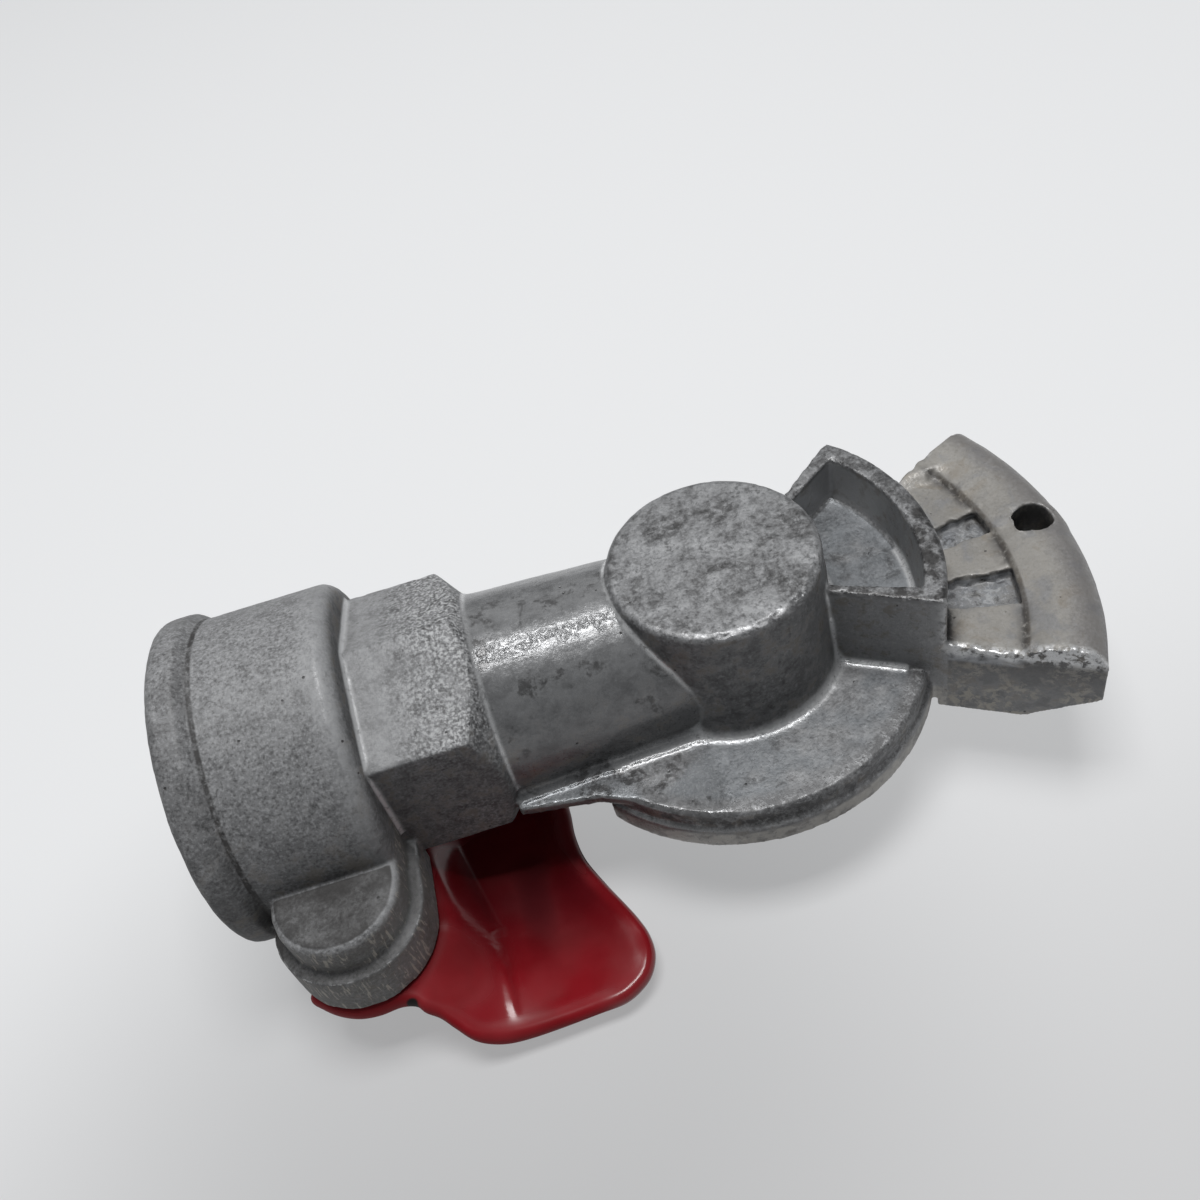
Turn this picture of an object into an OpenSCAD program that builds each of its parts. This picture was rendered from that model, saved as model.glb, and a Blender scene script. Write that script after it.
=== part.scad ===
// Quick-change gladhand air coupling head, shown back side up.
// Origin: centre of the seal on the coupling face. +X runs to the hook, -X to the
// mounting socket, +Z away from the mating head. Millimetres.

/* [Seal boss] */
// Radius of the boss at its top
boss_r = 20; // [18:0.1:22]
// Radius of the boss where it stands on the flange
boss_foot_r = 21.3; // [20.5:0.1:23]
// Height of the boss top over the coupling face
boss_top = 36; // [33:0.5:42]
// Round of the boss's top edge
boss_edge = 1.4; // [0.5:0.1:3]
// Fillet round the boss's foot
boss_fillet = 2; // [0.5:0.1:4]
// Thickness of the boss's closed top
boss_roof = 5; // [3:0.5:8]

/* [Flange] */
// Radius of the flange's upper wall
flange_r = 38.5; // [36:0.1:40]
// Width of the ledge half-way down the flange's edge
flange_ledge = 0.9; // [0.3:0.1:2]
// Height of the ledge over the coupling face
flange_ledge_z = 5.4; // [3:0.1:7]
// Thickness of the flange
flange_t = 9; // [8:0.1:11]
// Chamfer of the flange's top edge
flange_edge = 0.7; // [0.2:0.1:1.5]
// Angle at which the flange runs out into the web beside the tube
flange_from = -142; // [-155:1:-125]
// Half width of the web beside the tube, at the wrench flats
web_w = 22.5; // [21:0.1:25]
// Thickness of that web
web_t = 2.2; // [1.5:0.1:6]

/* [Hook arm] */
// Angle of the arm's near end
hook_from = -30; // [-36:1:-24]
// Angle of the pocketed arm's far end
arm_to = 41; // [34:1:50]
// Outer radius of the pocketed arm
arm_r = 41.6; // [41:0.1:43]
// Height of the pocket's rim over the coupling face
arm_top = 28.8; // [25:0.1:33]
// Depth of the pocket
pocket_depth = 10; // [5:0.5:14]
// Wall of the pocket at its outer side
pocket_wall = 4; // [2.5:0.1:6]
// Wall of the pocket at its two ends
pocket_end_wall = 2.8; // [2:0.1:4]
// Chamfer along the pocket's rim
arm_edge = 0.6; // [0.2:0.1:1.2]

/* [Hook fan] */
// Angle of the fan's far end
fan_to = 26; // [20:1:33]
// Outer radius of the fan
fan_r = 69.5; // [64:0.5:74]
// Height of the fan's pads over the coupling face
pad_z = 16.2; // [14:0.1:18]
// Radius at which the pads meet the raised bead
pad_r = 55.2; // [52:0.1:58]
// Height of the bead over the pads
bead_h = 2.7; // [1:0.1:4]
// Round of the bead's outer shoulder
bead_round = 5.5; // [3:0.1:7]
// Depth of the fan below the coupling face
fan_drop = 2.4; // [1:0.1:4]
// Radius at which the lower chamfer starts
chamfer_r = 56; // [52:0.5:60]
// Rise of the lower chamfer
chamfer_rise = 7.6; // [4:0.1:10]
// Middle angle of the first slot between the pads
slot_1_at = 5.9; // [3:0.1:9]
// Middle angle of the second slot
slot_2_at = -12.7; // [-16:0.1:-9]
// Angle that the first slot spans
slot_1_span = 6.6; // [4:0.1:9]
// Angle that the second slot spans
slot_2_span = 9; // [5:0.1:11]
// Depth of the slots
slot_depth = 2.2; // [1:0.1:4]
// Radius of the hole through the bead
eye_r = 3.7; // [2:0.1:4.5]
// Distance of that hole from the seal's axis
eye_at = 62.7; // [61:0.1:64]

/* [Hook lip] */
// Angle at which the lip below the arm starts
lip_from = -6; // [-8:0.5:0]
// Inner radius of the lip
lip_r = 33; // [31:0.1:36]
// Outer radius of the lip's back wall
lip_back_r = 53; // [49:0.1:56]
// Thickness of the lip
lip_t = 6; // [4:0.1:8]
// Play round the mating flange in the hook
hook_play = 1; // [0.5:0.1:2]
// Thickness of the detent plate on the lip
detent_t = 1.5; // [1:0.1:2.5]
// Width of the detent plate, its back edge tucked under the hook
detent_w = 8; // [7:0.1:9]
// Height of the nib pressed up in the detent plate
detent_nib = 0.8; // [0.3:0.1:0.9]
// Radius of the sphere that forms the nib
nib_r = 2.2; // [1.8:0.1:3]
// Radius of the detent plate's rivets
rivet_r = 2; // [1.5:0.1:2.5]
// Angle between the two rivets
rivet_span = 20; // [14:1:24]

/* [Tube] */
// Height of the tube's axis over the coupling face
axis_z = 16; // [14:0.1:18]
// Radius of the tube at the wrench flats
tube_r = 20.4; // [19:0.1:21]
// Radius of the tube at the boss
tube_end_r = 18; // [16:0.1:19]
// Fillet along the tube's foot on the flange
tube_fillet = 2.4; // [1:0.1:4]
// Radius of the air passage at the socket
air_r = 14; // [11:0.1:14.5]
// Radius of the air passage at the boss
air_end_r = 12.5; // [9:0.1:13]

/* [Wrench flats] */
// Distance of the flats' socket end from the seal's axis
flats_far = 72; // [71:0.5:74]
// Distance of the flats' tube end from the seal's axis
flats_near = 46.5; // [42:0.5:50]
// Half width over the flats
flats_w = 21.5; // [20.5:0.1:23]
// Rise of the flats over the tube's axis
flats_up = 15.4; // [12:0.1:17]
// Fall of the flats under the tube's axis
flats_down = 12; // [10:0.1:14]
// Rise of the ridge over the tube's axis
ridge_up = 23.2; // [21.5:0.1:25]
// Fall of the keel under the tube's axis
keel_down = 20.8; // [19.5:0.1:21.5]

/* [Mounting socket] */
// Distance of the socket's mouth from the seal's axis
socket_end = 102.5; // [100:0.5:110]
// Distance of the socket's shoulder from the seal's axis
socket_start = 69.5; // [67:0.5:70.5]
// Outer radius of the socket
socket_r = 30.3; // [29.5:0.1:30.8]
// Round of the socket's shoulder
shoulder_r = 3.2; // [2:0.1:5]
// Radius of the rim at the mouth
rim_r = 32; // [31.2:0.1:33]
// Width of the rim
rim_w = 7.4; // [4:0.1:9]
// Round of the rim's outer edge
rim_round = 2; // [1:0.1:3]
// Radius of the pilot bore that guides the mounting stub at the mouth
pilot_r = 25; // [24.5:0.1:26.5]
// Depth of the pilot bore
pilot_depth = 9; // [6:0.5:10]
// Radius of the socket's bore
bore_r = 24; // [23.4:0.1:24.2]
// Depth of the bore
bore_depth = 26.5; // [24:0.5:29]
// Radius of the inner bore for the mounting stub's nose
nose_r = 15.5; // [14.8:0.1:16.5]
// Length of that inner bore
nose_depth = 14; // [12:0.5:17]
// Wire radius of the sealing ring in the inner bore
ring_wire = 1.9; // [1.5:0.1:2.2]

/* [Lock ear] */
// Distance of the lever's pivot from the seal's axis, along the tube
ear_x = 81.7; // [80:0.1:84]
// Distance of the lever's pivot from the tube's axis, to the near side
ear_y = 32; // [31.5:0.1:33]
// Radius of the ear's upper boss
ear_r = 11.8; // [11:0.1:12.5]
// Radius of the ear's lower boss
ear_foot_r = 14; // [13.6:0.1:15]
// Height of the ear's flat top over the tube's axis
ear_rise = 0.4; // [-1:0.1:2]
// Round of the ear's top edge
ear_edge = 1.8; // [0.5:0.1:2.5]
// Height of the ear's step over the coupling face
ear_step_z = 8.4; // [7.5:0.1:10]
// Depth of the ear's foot below the coupling face
ear_drop = 2; // [1:0.1:3]
// Radius of the spring chamber in the ear's foot
chamber_r = 10.2; // [10:0.1:10.4]
// Height of the spring chamber's roof over the coupling face
chamber_top = 5; // [4.6:0.1:5.2]

/* [Lock pin and lever] */
// Radius of the lock pin
pin_r = 9.3; // [9:0.1:9.6]
// Running clearance round the lock pin
pin_fit = 0.08; // [0.03:0.01:0.1]
// Distance of the pin's release flat from its axis
pin_flat = 6.3; // [5.5:0.1:6.6]
// Radius of the pin's neck in the spring
neck_r = 6.5; // [5:0.1:7]
// Radius of the pin's collar
collar_r = 9.8; // [9:0.1:9.8]
// Half width of the pin's two-sided tang
tang_w = 3.6; // [3:0.1:4.2]
// Radius of the pin's tang
tang_r = 5; // [4.5:0.1:5.5]
// Radius of the retaining ring's inside
clip_in_r = 7.2; // [7:0.1:8.5]
// Thickness of the retaining ring
clip_t = 1; // [0.8:0.1:1.2]
// Depth of the retaining ring's groove
clip_groove = 0.6; // [0.3:0.1:0.8]
// Wire radius of the lever's spring
spring_wire = 0.5; // [0.4:0.05:0.55]
// Mean radius of the lever's spring
spring_r = 8.4; // [7.9:0.1:9]
// Turns of the lever's spring
spring_turns = 2; // [1:0.5:2]
// Thickness of the coated lever
lever_t = 4; // [3:0.1:4.5]
// Drop of the lever's paddle under its eye
lever_drop = 9; // [6:0.1:9.6]
// Radius of the lever's eye
lever_eye_r = 14.6; // [13.5:0.1:15.5]
// Place of the shank's round beside the eye, from the pivot
shank_at = [11.5, -7.5]; // [-12:0.1:16]
// Radius of that round
shank_r = 8.8; // [7:0.1:10]
// Place of the paddle's heel from the pivot, along and across
heel_at = [19.5, -14.5]; // [-20:0.1:25]
// Round of the paddle's heel
heel_r = 8.8; // [6:0.1:10]
// Place of the paddle's toe from the pivot
toe_at = [43.8, -15.8]; // [-20:0.1:48]
// Round of the paddle's toe
toe_r = 6.8; // [5:0.1:8]
// Place of the paddle's hidden tail from the pivot
tail_at = [35.7, 23]; // [15:0.1:40]
// Place of the paddle's inner corner from the pivot
knee_at = [21.7, 16]; // [12:0.1:26]
// Round of the paddle's two inner corners
tail_r = 6; // [4:0.1:7]
// Centre of the paddle's hollow edge from the pivot
hollow_at = [84.2, 17.5]; // [10:0.1:90]
// Radius of the paddle's hollow edge
hollow_r = 43; // [41:0.1:44]
// Distance of the lever's crank from the pivot
crank_at = 12.6; // [11:0.1:15]
// Slant of the lever's crank
crank_turn = -6; // [-14:0.1:4]
// Distance between the lever's two bends
crank_run = 10; // [8:0.1:12]
// Inside radius of the lever's bends
bend_r = 1.5; // [1:0.1:2.5]
// Centre of the paddle's dish from the pivot
dish_at = [33, 0]; // [-5:0.1:36]
// Half width of the paddle's dish
dish_r = 8; // [6:0.1:8.5]
// Length of the dish between its round ends
dish_l = 16; // [8:0.5:18]
// Swing of the lever from locked to released
lever_swing = 60; // [40:1:60]
// Depth of the dish pressed into the paddle
dish = 1.3; // [0.5:0.1:2]
// Radius of the lever screw's shank
screw_r = 2.5; // [2:0.1:3]
// Radius of the lever screw's head
screw_head_r = 5.5; // [5:0.1:6.5]
// Height of the lever screw's head
screw_head_h = 3.5; // [2.5:0.1:4]
// Radius of the lever's washer
washer_r = 8; // [7:0.1:9]
// Thickness of the lever's washer
washer_t = 1.4; // [0.8:0.1:2]

/* [Face seal] */
// Radius of the seal's seat in the face
seat_r = 18; // [17:0.1:18.5]
// Depth of the seat
seat_depth = 6.5; // [5:0.1:8]
// Radius of the seat's mouth
seat_mouth_r = 16.6; // [16:0.1:17]
// Height of the lip that holds the seal in
seat_lip = 1.6; // [1:0.1:2.5]
// Radius of the air opening through the seal
seal_hole_r = 10.5; // [8:0.1:12]
// How far the seal stands out of the coupling face
seal_stand = 2; // [1:0.1:3]
// Clearance of the seal in its seat
seal_fit = 0.05; // [0.02:0.01:0.1]

/* [Hidden] */
$fn = 64;
eps = 0.01;
gap = 0.3;                                   // room between pieces that move apart
lap = 4;                                     // how far joined forms of the casting reach into each other
over = 1;                                    // how far a cut runs past the face that it opens
tang_fit = 0.1;                              // clearance of the tang in the lever's eye
ring_fit = 0.05;                             // clearance of the sealing ring in its groove
ring_squeeze = 1.2;                          // how far the sealing ring stands into the inner bore
clip_fit = 0.05;                             // clearance of the retaining ring in its groove
screw_fit = 0.2;                             // clearance of the screw in the washer
thread_fit = 0.05;                           // clearance of the screw's shank in the pin
lip_play = 0.6;                              // room between the mating flange and the detent plate
plate_inset = 0.5;                           // step from the lip's edge to the detent plate
rivet_head = 0.5;                            // height of a rivet's head on the plate
rivet_foot = 0.8;                            // height of a rivet's closed end
lip_chamfer = 1.5;                           // chamfer of the lip's lower inner edge
lip_slope = 6;                               // rise of the sloped corner behind the lip
pin_roof = 2.2;                              // closed skin over the pin's bore
clip_set = 0.3;                              // set-back of the retaining ring from the ear's foot
collar_t = 1.4;                              // thickness of the pin's collar
bevel = 7;                                   // length of the bevel at the flats' tube end
boss_gap = 0.4;                              // step between the boss and the pocket
pocket_draft = 1;                            // draft of the pocket's outer wall
seal_taper = 1.6;                            // taper of the seal's lip at its edge
socket_room = 0.9;                           // room between the lever's inner edge and the socket
bend_steps = 6;                              // flats along each bend of the lever
web_lead = [2, 1.2];                         // run of the web past the flange's near end
clip_turn = 200;                             // angle at which the retaining ring is open
web_turn = 8;                                // angle over which the web joins the flange
bead_lean = 1.1;                             // run of the bead's inner slope for its height
pocket_lead = 1.25;                          // share by which the pocket's ends are set in
flange_wall_r = flange_r + flange_ledge;
mate_room = 4;                               // room round the mating flange under the tube
hook_r = flange_wall_r + hook_play;          // back of the hook's groove
lip_face = -flange_t - lip_play;              // top of the detent plate
lip_top = lip_face - detent_t;
lip_low = lip_top - lip_t;
bead_z = pad_z + bead_h;
ear_top = axis_z + ear_rise;
pin_top = ear_top - pin_roof;
clip_low = -ear_drop + clip_set;
collar_low = clip_low + clip_t + gap;
collar_top = collar_low + collar_t;
lever_top = -ear_drop - gap;
lever_low = lever_top - lever_t;
ring_r = nose_r - ring_squeeze + ring_wire;   // centre of the sealing ring's wire
ring_groove_r = ring_r + ring_wire + ring_fit;
nose_start = socket_end - bore_depth;
nose_end = nose_start - nose_depth;
ring_x = nose_start - nose_depth * 0.45;
plate_r = lip_r + plate_inset;               // inner edge of the detent plate
rivet_at = plate_r + rivet_r * 1.6;
lip_mid = (lip_from + fan_to) / 2;           // middle angle of the lip
fan_root = arm_r - pocket_wall;              // the fan's root in the arm's outer wall

cast_grey = [0.50, 0.52, 0.54];
steel_grey = [0.66, 0.66, 0.67];
rubber_black = [0.08, 0.08, 0.09];
coat_red = [0.50, 0.05, 0.08];

// Turns a revolved or extruded shape from +Z to +X, along the tube's axis.
module along_tube() { translate([0, 0, axis_z]) rotate([0, 90, 0]) children(); }

// Sector of a revolved profile between two angles.
module sector(from, to) { rotate([0, 0, from]) rotate_extrude(angle = to - from, $fn = 96) children(); }

// Places a child at the lever's pivot.
module at_pivot() { translate([-ear_x, -ear_y, 0]) children(); }

// Places a child at each rivet of the detent plate.
module at_rivets() {
    for (s = [-1, 1]) rotate([0, 0, lip_mid + s * rivet_span / 2]) translate([rivet_at, 0, 0]) children();
}

// Boss over the seal: tapered, rounded at the top, filleted at the foot.
module boss_form() {
    rotate_extrude($fn = 96) {
        polygon([[0, 0], [boss_foot_r + boss_fillet / 2, 0], [boss_foot_r + boss_fillet / 2, flange_t - eps],
                 [boss_foot_r, flange_t - eps], [boss_r, boss_top - boss_edge],
                 [boss_r - boss_edge, boss_top - boss_edge], [boss_r - boss_edge, boss_top], [0, boss_top]]);
        translate([boss_r - boss_edge, boss_top - boss_edge]) circle(boss_edge, $fn = 32);
        difference() {
            translate([boss_foot_r - over, flange_t - eps]) square([boss_fillet + over, boss_fillet]);
            translate([boss_foot_r + boss_fillet, flange_t + boss_fillet - eps]) circle(boss_fillet, $fn = 32);
        }
    }
}

// Part-round flange on the near side, with a ledge half-way down its edge, and the thin web beside the tube.
module flange_form() {
    sector(flange_from, hook_from + 1)
        polygon([[boss_r - lap, 0], [flange_wall_r, 0], [flange_wall_r, flange_ledge_z - flange_ledge / 2],
                 [flange_r, flange_ledge_z], [flange_r, flange_t - flange_edge],
                 [flange_r - flange_edge, flange_t], [boss_r - lap, flange_t]]);
    translate([0, 0, flange_t - web_t]) linear_extrude(web_t)
        polygon([[-flats_near - over, 0], [-flats_near - over, -web_w],
                 [flange_r * cos(flange_from) - web_lead[0], flange_r * sin(flange_from) - web_lead[1]],
                 [flange_r * cos(flange_from + web_turn), flange_r * sin(flange_from + web_turn)], [0, 0]]);
}

// Profile of the fan at the hook's outer end: root in the arm's wall, pads, rounded bead, lower chamfer.
module fan_profile() {
    polygon([[hook_r, -fan_drop], [chamfer_r, -fan_drop], [fan_r, chamfer_rise - fan_drop],
             [fan_r, bead_z - bead_round], [fan_r - bead_round, bead_z - bead_round],
             [fan_r - bead_round, bead_z], [pad_r + bead_h * bead_lean, bead_z], [pad_r, pad_z],
             [fan_root, pad_z], [fan_root, 0], [hook_r, 0]]);
    translate([fan_r - bead_round, bead_z - bead_round]) circle(bead_round, $fn = 48);
}

// Hook: pocketed arm on the boss, fan with slots and a hole, and the lip below that grips the mate.
module hook_form() {
    difference() {
        sector(hook_from, arm_to)
            polygon([[boss_r - lap, 0], [arm_r, 0], [arm_r, arm_top - arm_edge], [arm_r - arm_edge, arm_top],
                     [boss_r - lap, arm_top]]);
        pocket_cut();
    }
    difference() {
        sector(hook_from, fan_to) fan_profile();
        slot_cut(slot_1_at, slot_1_span);
        slot_cut(slot_2_at, slot_2_span);
        translate([eye_at, 0, -fan_drop - over])
            cylinder(r = eye_r, h = bead_z + fan_drop + over * 2, $fn = 48);
    }
    sector(lip_from, fan_to) lip_profile();
}

// Profile of the lip and its back wall, undercut for the detent plate's back edge and the rivets' heads.
module lip_profile() {
    undercut_r = plate_r + detent_w + gap;
    undercut_top = lip_face + rivet_head + gap;
    polygon([[hook_r + gap, pad_z - lap / 2], [hook_r + gap, undercut_top], [undercut_r, undercut_top],
             [undercut_r, lip_top], [lip_r, lip_top], [lip_r, lip_low + lip_chamfer],
             [lip_r + lip_chamfer, lip_low], [lip_back_r - lap, lip_low], [lip_back_r, lip_low + lip_slope],
             [lip_back_r, pad_z - lap / 2]]);
}

// Recess in the top of the arm, between the boss and the arm's walls.
module pocket_cut() {
    inset = asin(pocket_end_wall / arm_r) * pocket_lead;
    sector(hook_from + inset, arm_to - inset)
        polygon([[boss_r + boss_gap, arm_top - pocket_depth],
                 [arm_r - pocket_wall - pocket_draft, arm_top - pocket_depth],
                 [arm_r - pocket_wall, arm_top + over], [boss_r + boss_gap, arm_top + over]]);
}

// Radial slot between two pads.
module slot_cut(at, span) {
    sector(at - span / 2, at + span / 2)
        polygon([[arm_r - over, pad_z - slot_depth], [pad_r + gap, pad_z - slot_depth],
                 [pad_r + gap, bead_z], [arm_r - over, bead_z]]);
}

// Distance from the tube's middle plane to the foot of its fillet, where the tube has radius r.
function fillet_foot(r) = sqrt(pow(r + tube_fillet, 2) - pow(axis_z - flange_t - tube_fillet, 2));

// Tapered tube from the wrench flats to the boss, with a fillet along its foot on the near side.
module tube_form() {
    length = flats_near + lap;
    difference() {
        along_tube() translate([0, 0, -length]) cylinder(r1 = tube_r, r2 = tube_end_r, h = length, $fn = 96);
        translate([0, 0, -axis_z]) cylinder(r = flange_wall_r + mate_room, h = axis_z, $fn = 96);
    }
    foot = fillet_foot(tube_r);
    lean = atan((foot - fillet_foot(tube_end_r)) / length);
    inward = [foot, axis_z - flange_t - tube_fillet] / (tube_r + tube_fillet);
    translate([-length, -foot, flange_t]) rotate([0, 0, lean]) rotate([90, 0, 90])
        translate([0, 0, lap - over]) linear_extrude(flats_near) difference() {
            polygon([[0, -eps], [lap, -eps], [0, tube_fillet] + inward * (tube_fillet + over),
                     [0, tube_fillet]]);
            translate([0, tube_fillet]) circle(tube_fillet, $fn = 48);
        }
}

// Six-sided wrench section, its tube end bevelled all round.
module flats_form() {
    intersection() {
        translate([-flats_far, 0, axis_z]) rotate([90, 0, 90]) linear_extrude(flats_far - flats_near)
            polygon([[-flats_w, -flats_down], [-flats_w, flats_up], [0, ridge_up], [flats_w, flats_up],
                     [flats_w, -flats_down], [0, -keel_down]]);
        along_tube() rotate_extrude($fn = 96)
            polygon([[0, -flats_far], [flats_w + bevel + over, -flats_far],
                     [flats_w + bevel + over, -flats_near - bevel], [tube_r - gap, -flats_near],
                     [0, -flats_near]]);
    }
}

// Round mounting socket with a rim at its mouth and a rounded shoulder.
module socket_form() {
    along_tube() rotate_extrude($fn = 96) {
        polygon([[0, -socket_end], [rim_r - rim_round, -socket_end],
                 [rim_r - rim_round, -socket_end + rim_round], [rim_r, -socket_end + rim_round],
                 [rim_r, -socket_end + rim_w - rim_round],
                 [socket_r, -socket_end + rim_w], [socket_r, -socket_start - shoulder_r],
                 [socket_r - shoulder_r, -socket_start - shoulder_r], [socket_r - shoulder_r, -socket_start],
                 [0, -socket_start]]);
        translate([rim_r - rim_round, -socket_end + rim_round]) circle(rim_round, $fn = 32);
        translate([socket_r - shoulder_r, -socket_start - shoulder_r]) circle(shoulder_r, $fn = 48);
    }
}

// Half section of the ear's upper boss, its top edge rounded.
module ear_section() {
    height = ear_top - ear_step_z + eps;
    polygon([[0, 0], [ear_r, 0], [ear_r, height - ear_edge], [ear_r - ear_edge, height - ear_edge],
             [ear_r - ear_edge, height], [0, height]]);
    translate([ear_r - ear_edge, height - ear_edge]) circle(ear_edge, $fn = 32);
}

// Stepped ear at the socket's near side that houses the lock pin. Both steps run straight back to the socket.
module ear_form() {
    reach = ear_y - bore_r + over;
    at_pivot() {
        translate([0, 0, ear_step_z - eps]) {
            rotate_extrude() ear_section();
            for (side = [0, 1]) translate([0, reach, 0]) rotate([90, 0, 0]) linear_extrude(reach)
                mirror([side, 0]) ear_section();
        }
        translate([0, 0, -ear_drop]) {
            cylinder(r = ear_foot_r, h = ear_step_z + ear_drop);
            translate([-ear_foot_r, 0, 0]) cube([ear_foot_r * 2, reach + lap, ear_step_z + ear_drop]);
        }
    }
}

// Hollows of the casting: seal seat, air way, socket, lock pin's bore and rivet holes.
module body_hollows() {
    translate([0, 0, -over]) cylinder(r = seat_mouth_r, h = seat_lip + over * 2);
    translate([0, 0, seat_lip]) cylinder(r = seat_r, h = seat_depth - seat_lip);
    translate([0, 0, seat_depth - eps])
        cylinder(r = air_end_r + boss_edge, h = boss_top - boss_roof - seat_depth);
    along_tube() {
        translate([0, 0, -nose_end - eps]) cylinder(r1 = air_r, r2 = air_end_r, h = nose_end);
        translate([0, 0, -nose_start - eps]) cylinder(r = nose_r, h = nose_depth);
        translate([0, 0, -ring_x - ring_wire - ring_fit * 2])
            cylinder(r = ring_groove_r, h = ring_wire * 2 + ring_fit * 4);
        translate([0, 0, -socket_end - over]) cylinder(r = bore_r, h = bore_depth + over);
        translate([0, 0, -socket_end - over]) cylinder(r = pilot_r, h = pilot_depth + over);
    }
    at_pivot() {
        translate([0, 0, chamber_top - eps]) cylinder(r = pin_r + pin_fit, h = pin_top + gap - chamber_top);
        translate([0, 0, -ear_drop - over]) cylinder(r = chamber_r, h = chamber_top + ear_drop + over);
        translate([0, 0, clip_low - clip_fit])
            cylinder(r = chamber_r + clip_groove + clip_fit, h = clip_t + clip_fit * 2);
    }
    at_rivets() translate([0, 0, lip_low - over]) cylinder(r = rivet_r, h = lip_t + over * 2, $fn = 32);
}

module body() {
    color(cast_grey) difference() {
        union() {
            boss_form();
            flange_form();
            hook_form();
            tube_form();
            flats_form();
            socket_form();
            ear_form();
        }
        body_hollows();
    }
}

// Rubber seal: a foot held in the seat and a lip that stands out of the face.
module face_seal() {
    neck = seat_mouth_r - gap;
    color(rubber_black) rotate_extrude($fn = 96)
        polygon([[seal_hole_r, -seal_stand], [neck - seal_taper, -seal_stand],
                 [neck - seal_taper / 4, -seal_stand / 2], [neck, 0], [neck, seat_lip + seal_fit],
                 [seat_r - seal_fit, seat_lip + seal_fit], [seat_r - seal_fit, seat_depth - seal_fit],
                 [seal_hole_r + seal_taper, seat_depth - seal_fit], [seal_hole_r + seal_taper, seal_stand / 2],
                 [seal_hole_r, 0]]);
}

// Spring-steel plate on the lip, with a pressed nib that clicks on the mating flange.
module detent_plate() {
    color(steel_grey) difference() {
        union() {
            sector(lip_from + 1, fan_to - 1)
                polygon([[plate_r, lip_top], [plate_r + detent_w, lip_top], [plate_r + detent_w, lip_face],
                         [plate_r, lip_face]]);
            rotate([0, 0, lip_mid]) translate([rivet_at, 0, lip_face]) intersection() {
                translate([0, 0, detent_nib - nib_r]) sphere(r = nib_r, $fn = 48);
                translate([0, 0, -detent_t / 2]) cylinder(r = nib_r, h = detent_t / 2 + nib_r);
            }
        }
        at_rivets() translate([0, 0, lip_top - over]) cylinder(r = rivet_r, h = detent_t + over * 2, $fn = 32);
    }
}

// Two rivets that hold the detent plate, headed above the plate and below the lip.
module detent_rivets() {
    color(steel_grey) at_rivets() {
        translate([0, 0, lip_low]) cylinder(r = rivet_r, h = lip_face - lip_low, $fn = 32);
        translate([0, 0, lip_low - rivet_foot])
            cylinder(r1 = rivet_r * 1.1, r2 = rivet_r * 1.6, h = rivet_foot, $fn = 32);
        translate([0, 0, lip_face]) cylinder(r1 = rivet_r * 1.3, r2 = rivet_r * 0.9, h = rivet_head, $fn = 32);
    }
}

// Round sealing ring in the inner bore.
module socket_ring() {
    color(rubber_black) along_tube() translate([0, 0, -ring_x])
        rotate_extrude($fn = 96) translate([ring_r, 0]) circle(ring_wire, $fn = 32);
}

// Cross-section of the pin's two-sided tang, with a clearance all round.
module tang_section(fit) {
    intersection() {
        circle(tang_r + fit);
        square([(tang_r + over) * 2, (tang_w + fit) * 2], center = true);
    }
}

// Lock pin: half-moon at the top, neck for the spring, collar and two-sided tang.
module lock_pin() {
    color(steel_grey) at_pivot() difference() {
        union() {
            translate([0, 0, chamber_top + gap]) cylinder(r = pin_r, h = pin_top - chamber_top - gap);
            translate([0, 0, collar_low]) cylinder(r = neck_r, h = chamber_top + gap - collar_low + eps);
            translate([0, 0, collar_low]) cylinder(r = collar_r, h = collar_top - collar_low);
            translate([0, 0, lever_top]) cylinder(r = neck_r, h = collar_low - lever_top + eps);
            translate([0, 0, lever_low]) linear_extrude(lever_t + eps) tang_section(0);
        }
        rotate([0, 0, 90 + lever_swing]) translate([pin_flat, -pin_r, chamber_top + gap + over])
            cube([pin_r, pin_r * 2, pin_top]);
        translate([0, 0, lever_low - over]) cylinder(r = screw_r, h = collar_top - lever_low + over, $fn = 32);
    }
}

// Inside retaining ring that keeps the pin in its chamber, open at one side.
module pin_clip() {
    opening = clip_t * 4;
    color(steel_grey) at_pivot() translate([0, 0, clip_low]) difference() {
        cylinder(r = chamber_r + clip_groove, h = clip_t);
        translate([0, 0, -over]) cylinder(r = clip_in_r, h = clip_t + over * 2);
        rotate([0, 0, clip_turn]) translate([0, -opening / 2, -over])
            cube([chamber_r * 2, opening, clip_t + over * 2]);
    }
}

// Point on the spring's centre line at turn t.
function coil_at(t, low, pitch) = [spring_r * cos(t * 360), spring_r * sin(t * 360), low + pitch * t];

// Flat torsion coil round the pin's neck, under the chamber's roof.
module lever_spring() {
    sides = 8;
    per_turn = 20;
    rings = floor(spring_turns * per_turn);
    low = collar_top + gap + spring_wire;
    pitch = (chamber_top - gap / 3 - spring_wire - low) / spring_turns;
    pts = [for (i = [0 : rings], k = [0 : sides - 1])
        let (a = i / per_turn * 360, c = coil_at(i / per_turn, low, pitch), b = k / sides * 360)
        c + spring_wire * [cos(b) * cos(a), cos(b) * sin(a), sin(b)]];
    quads = [for (i = [0 : rings - 1], k = [0 : sides - 1]) let (next = (k + 1) % sides)
        [i * sides + k, (i + 1) * sides + k, (i + 1) * sides + next, i * sides + next]];
    caps = [[for (k = [0 : sides - 1]) k], [for (k = [sides - 1 : -1 : 0]) rings * sides + k]];
    color(steel_grey) at_pivot() polyhedron(points = pts, faces = concat(quads, caps));
}

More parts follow.
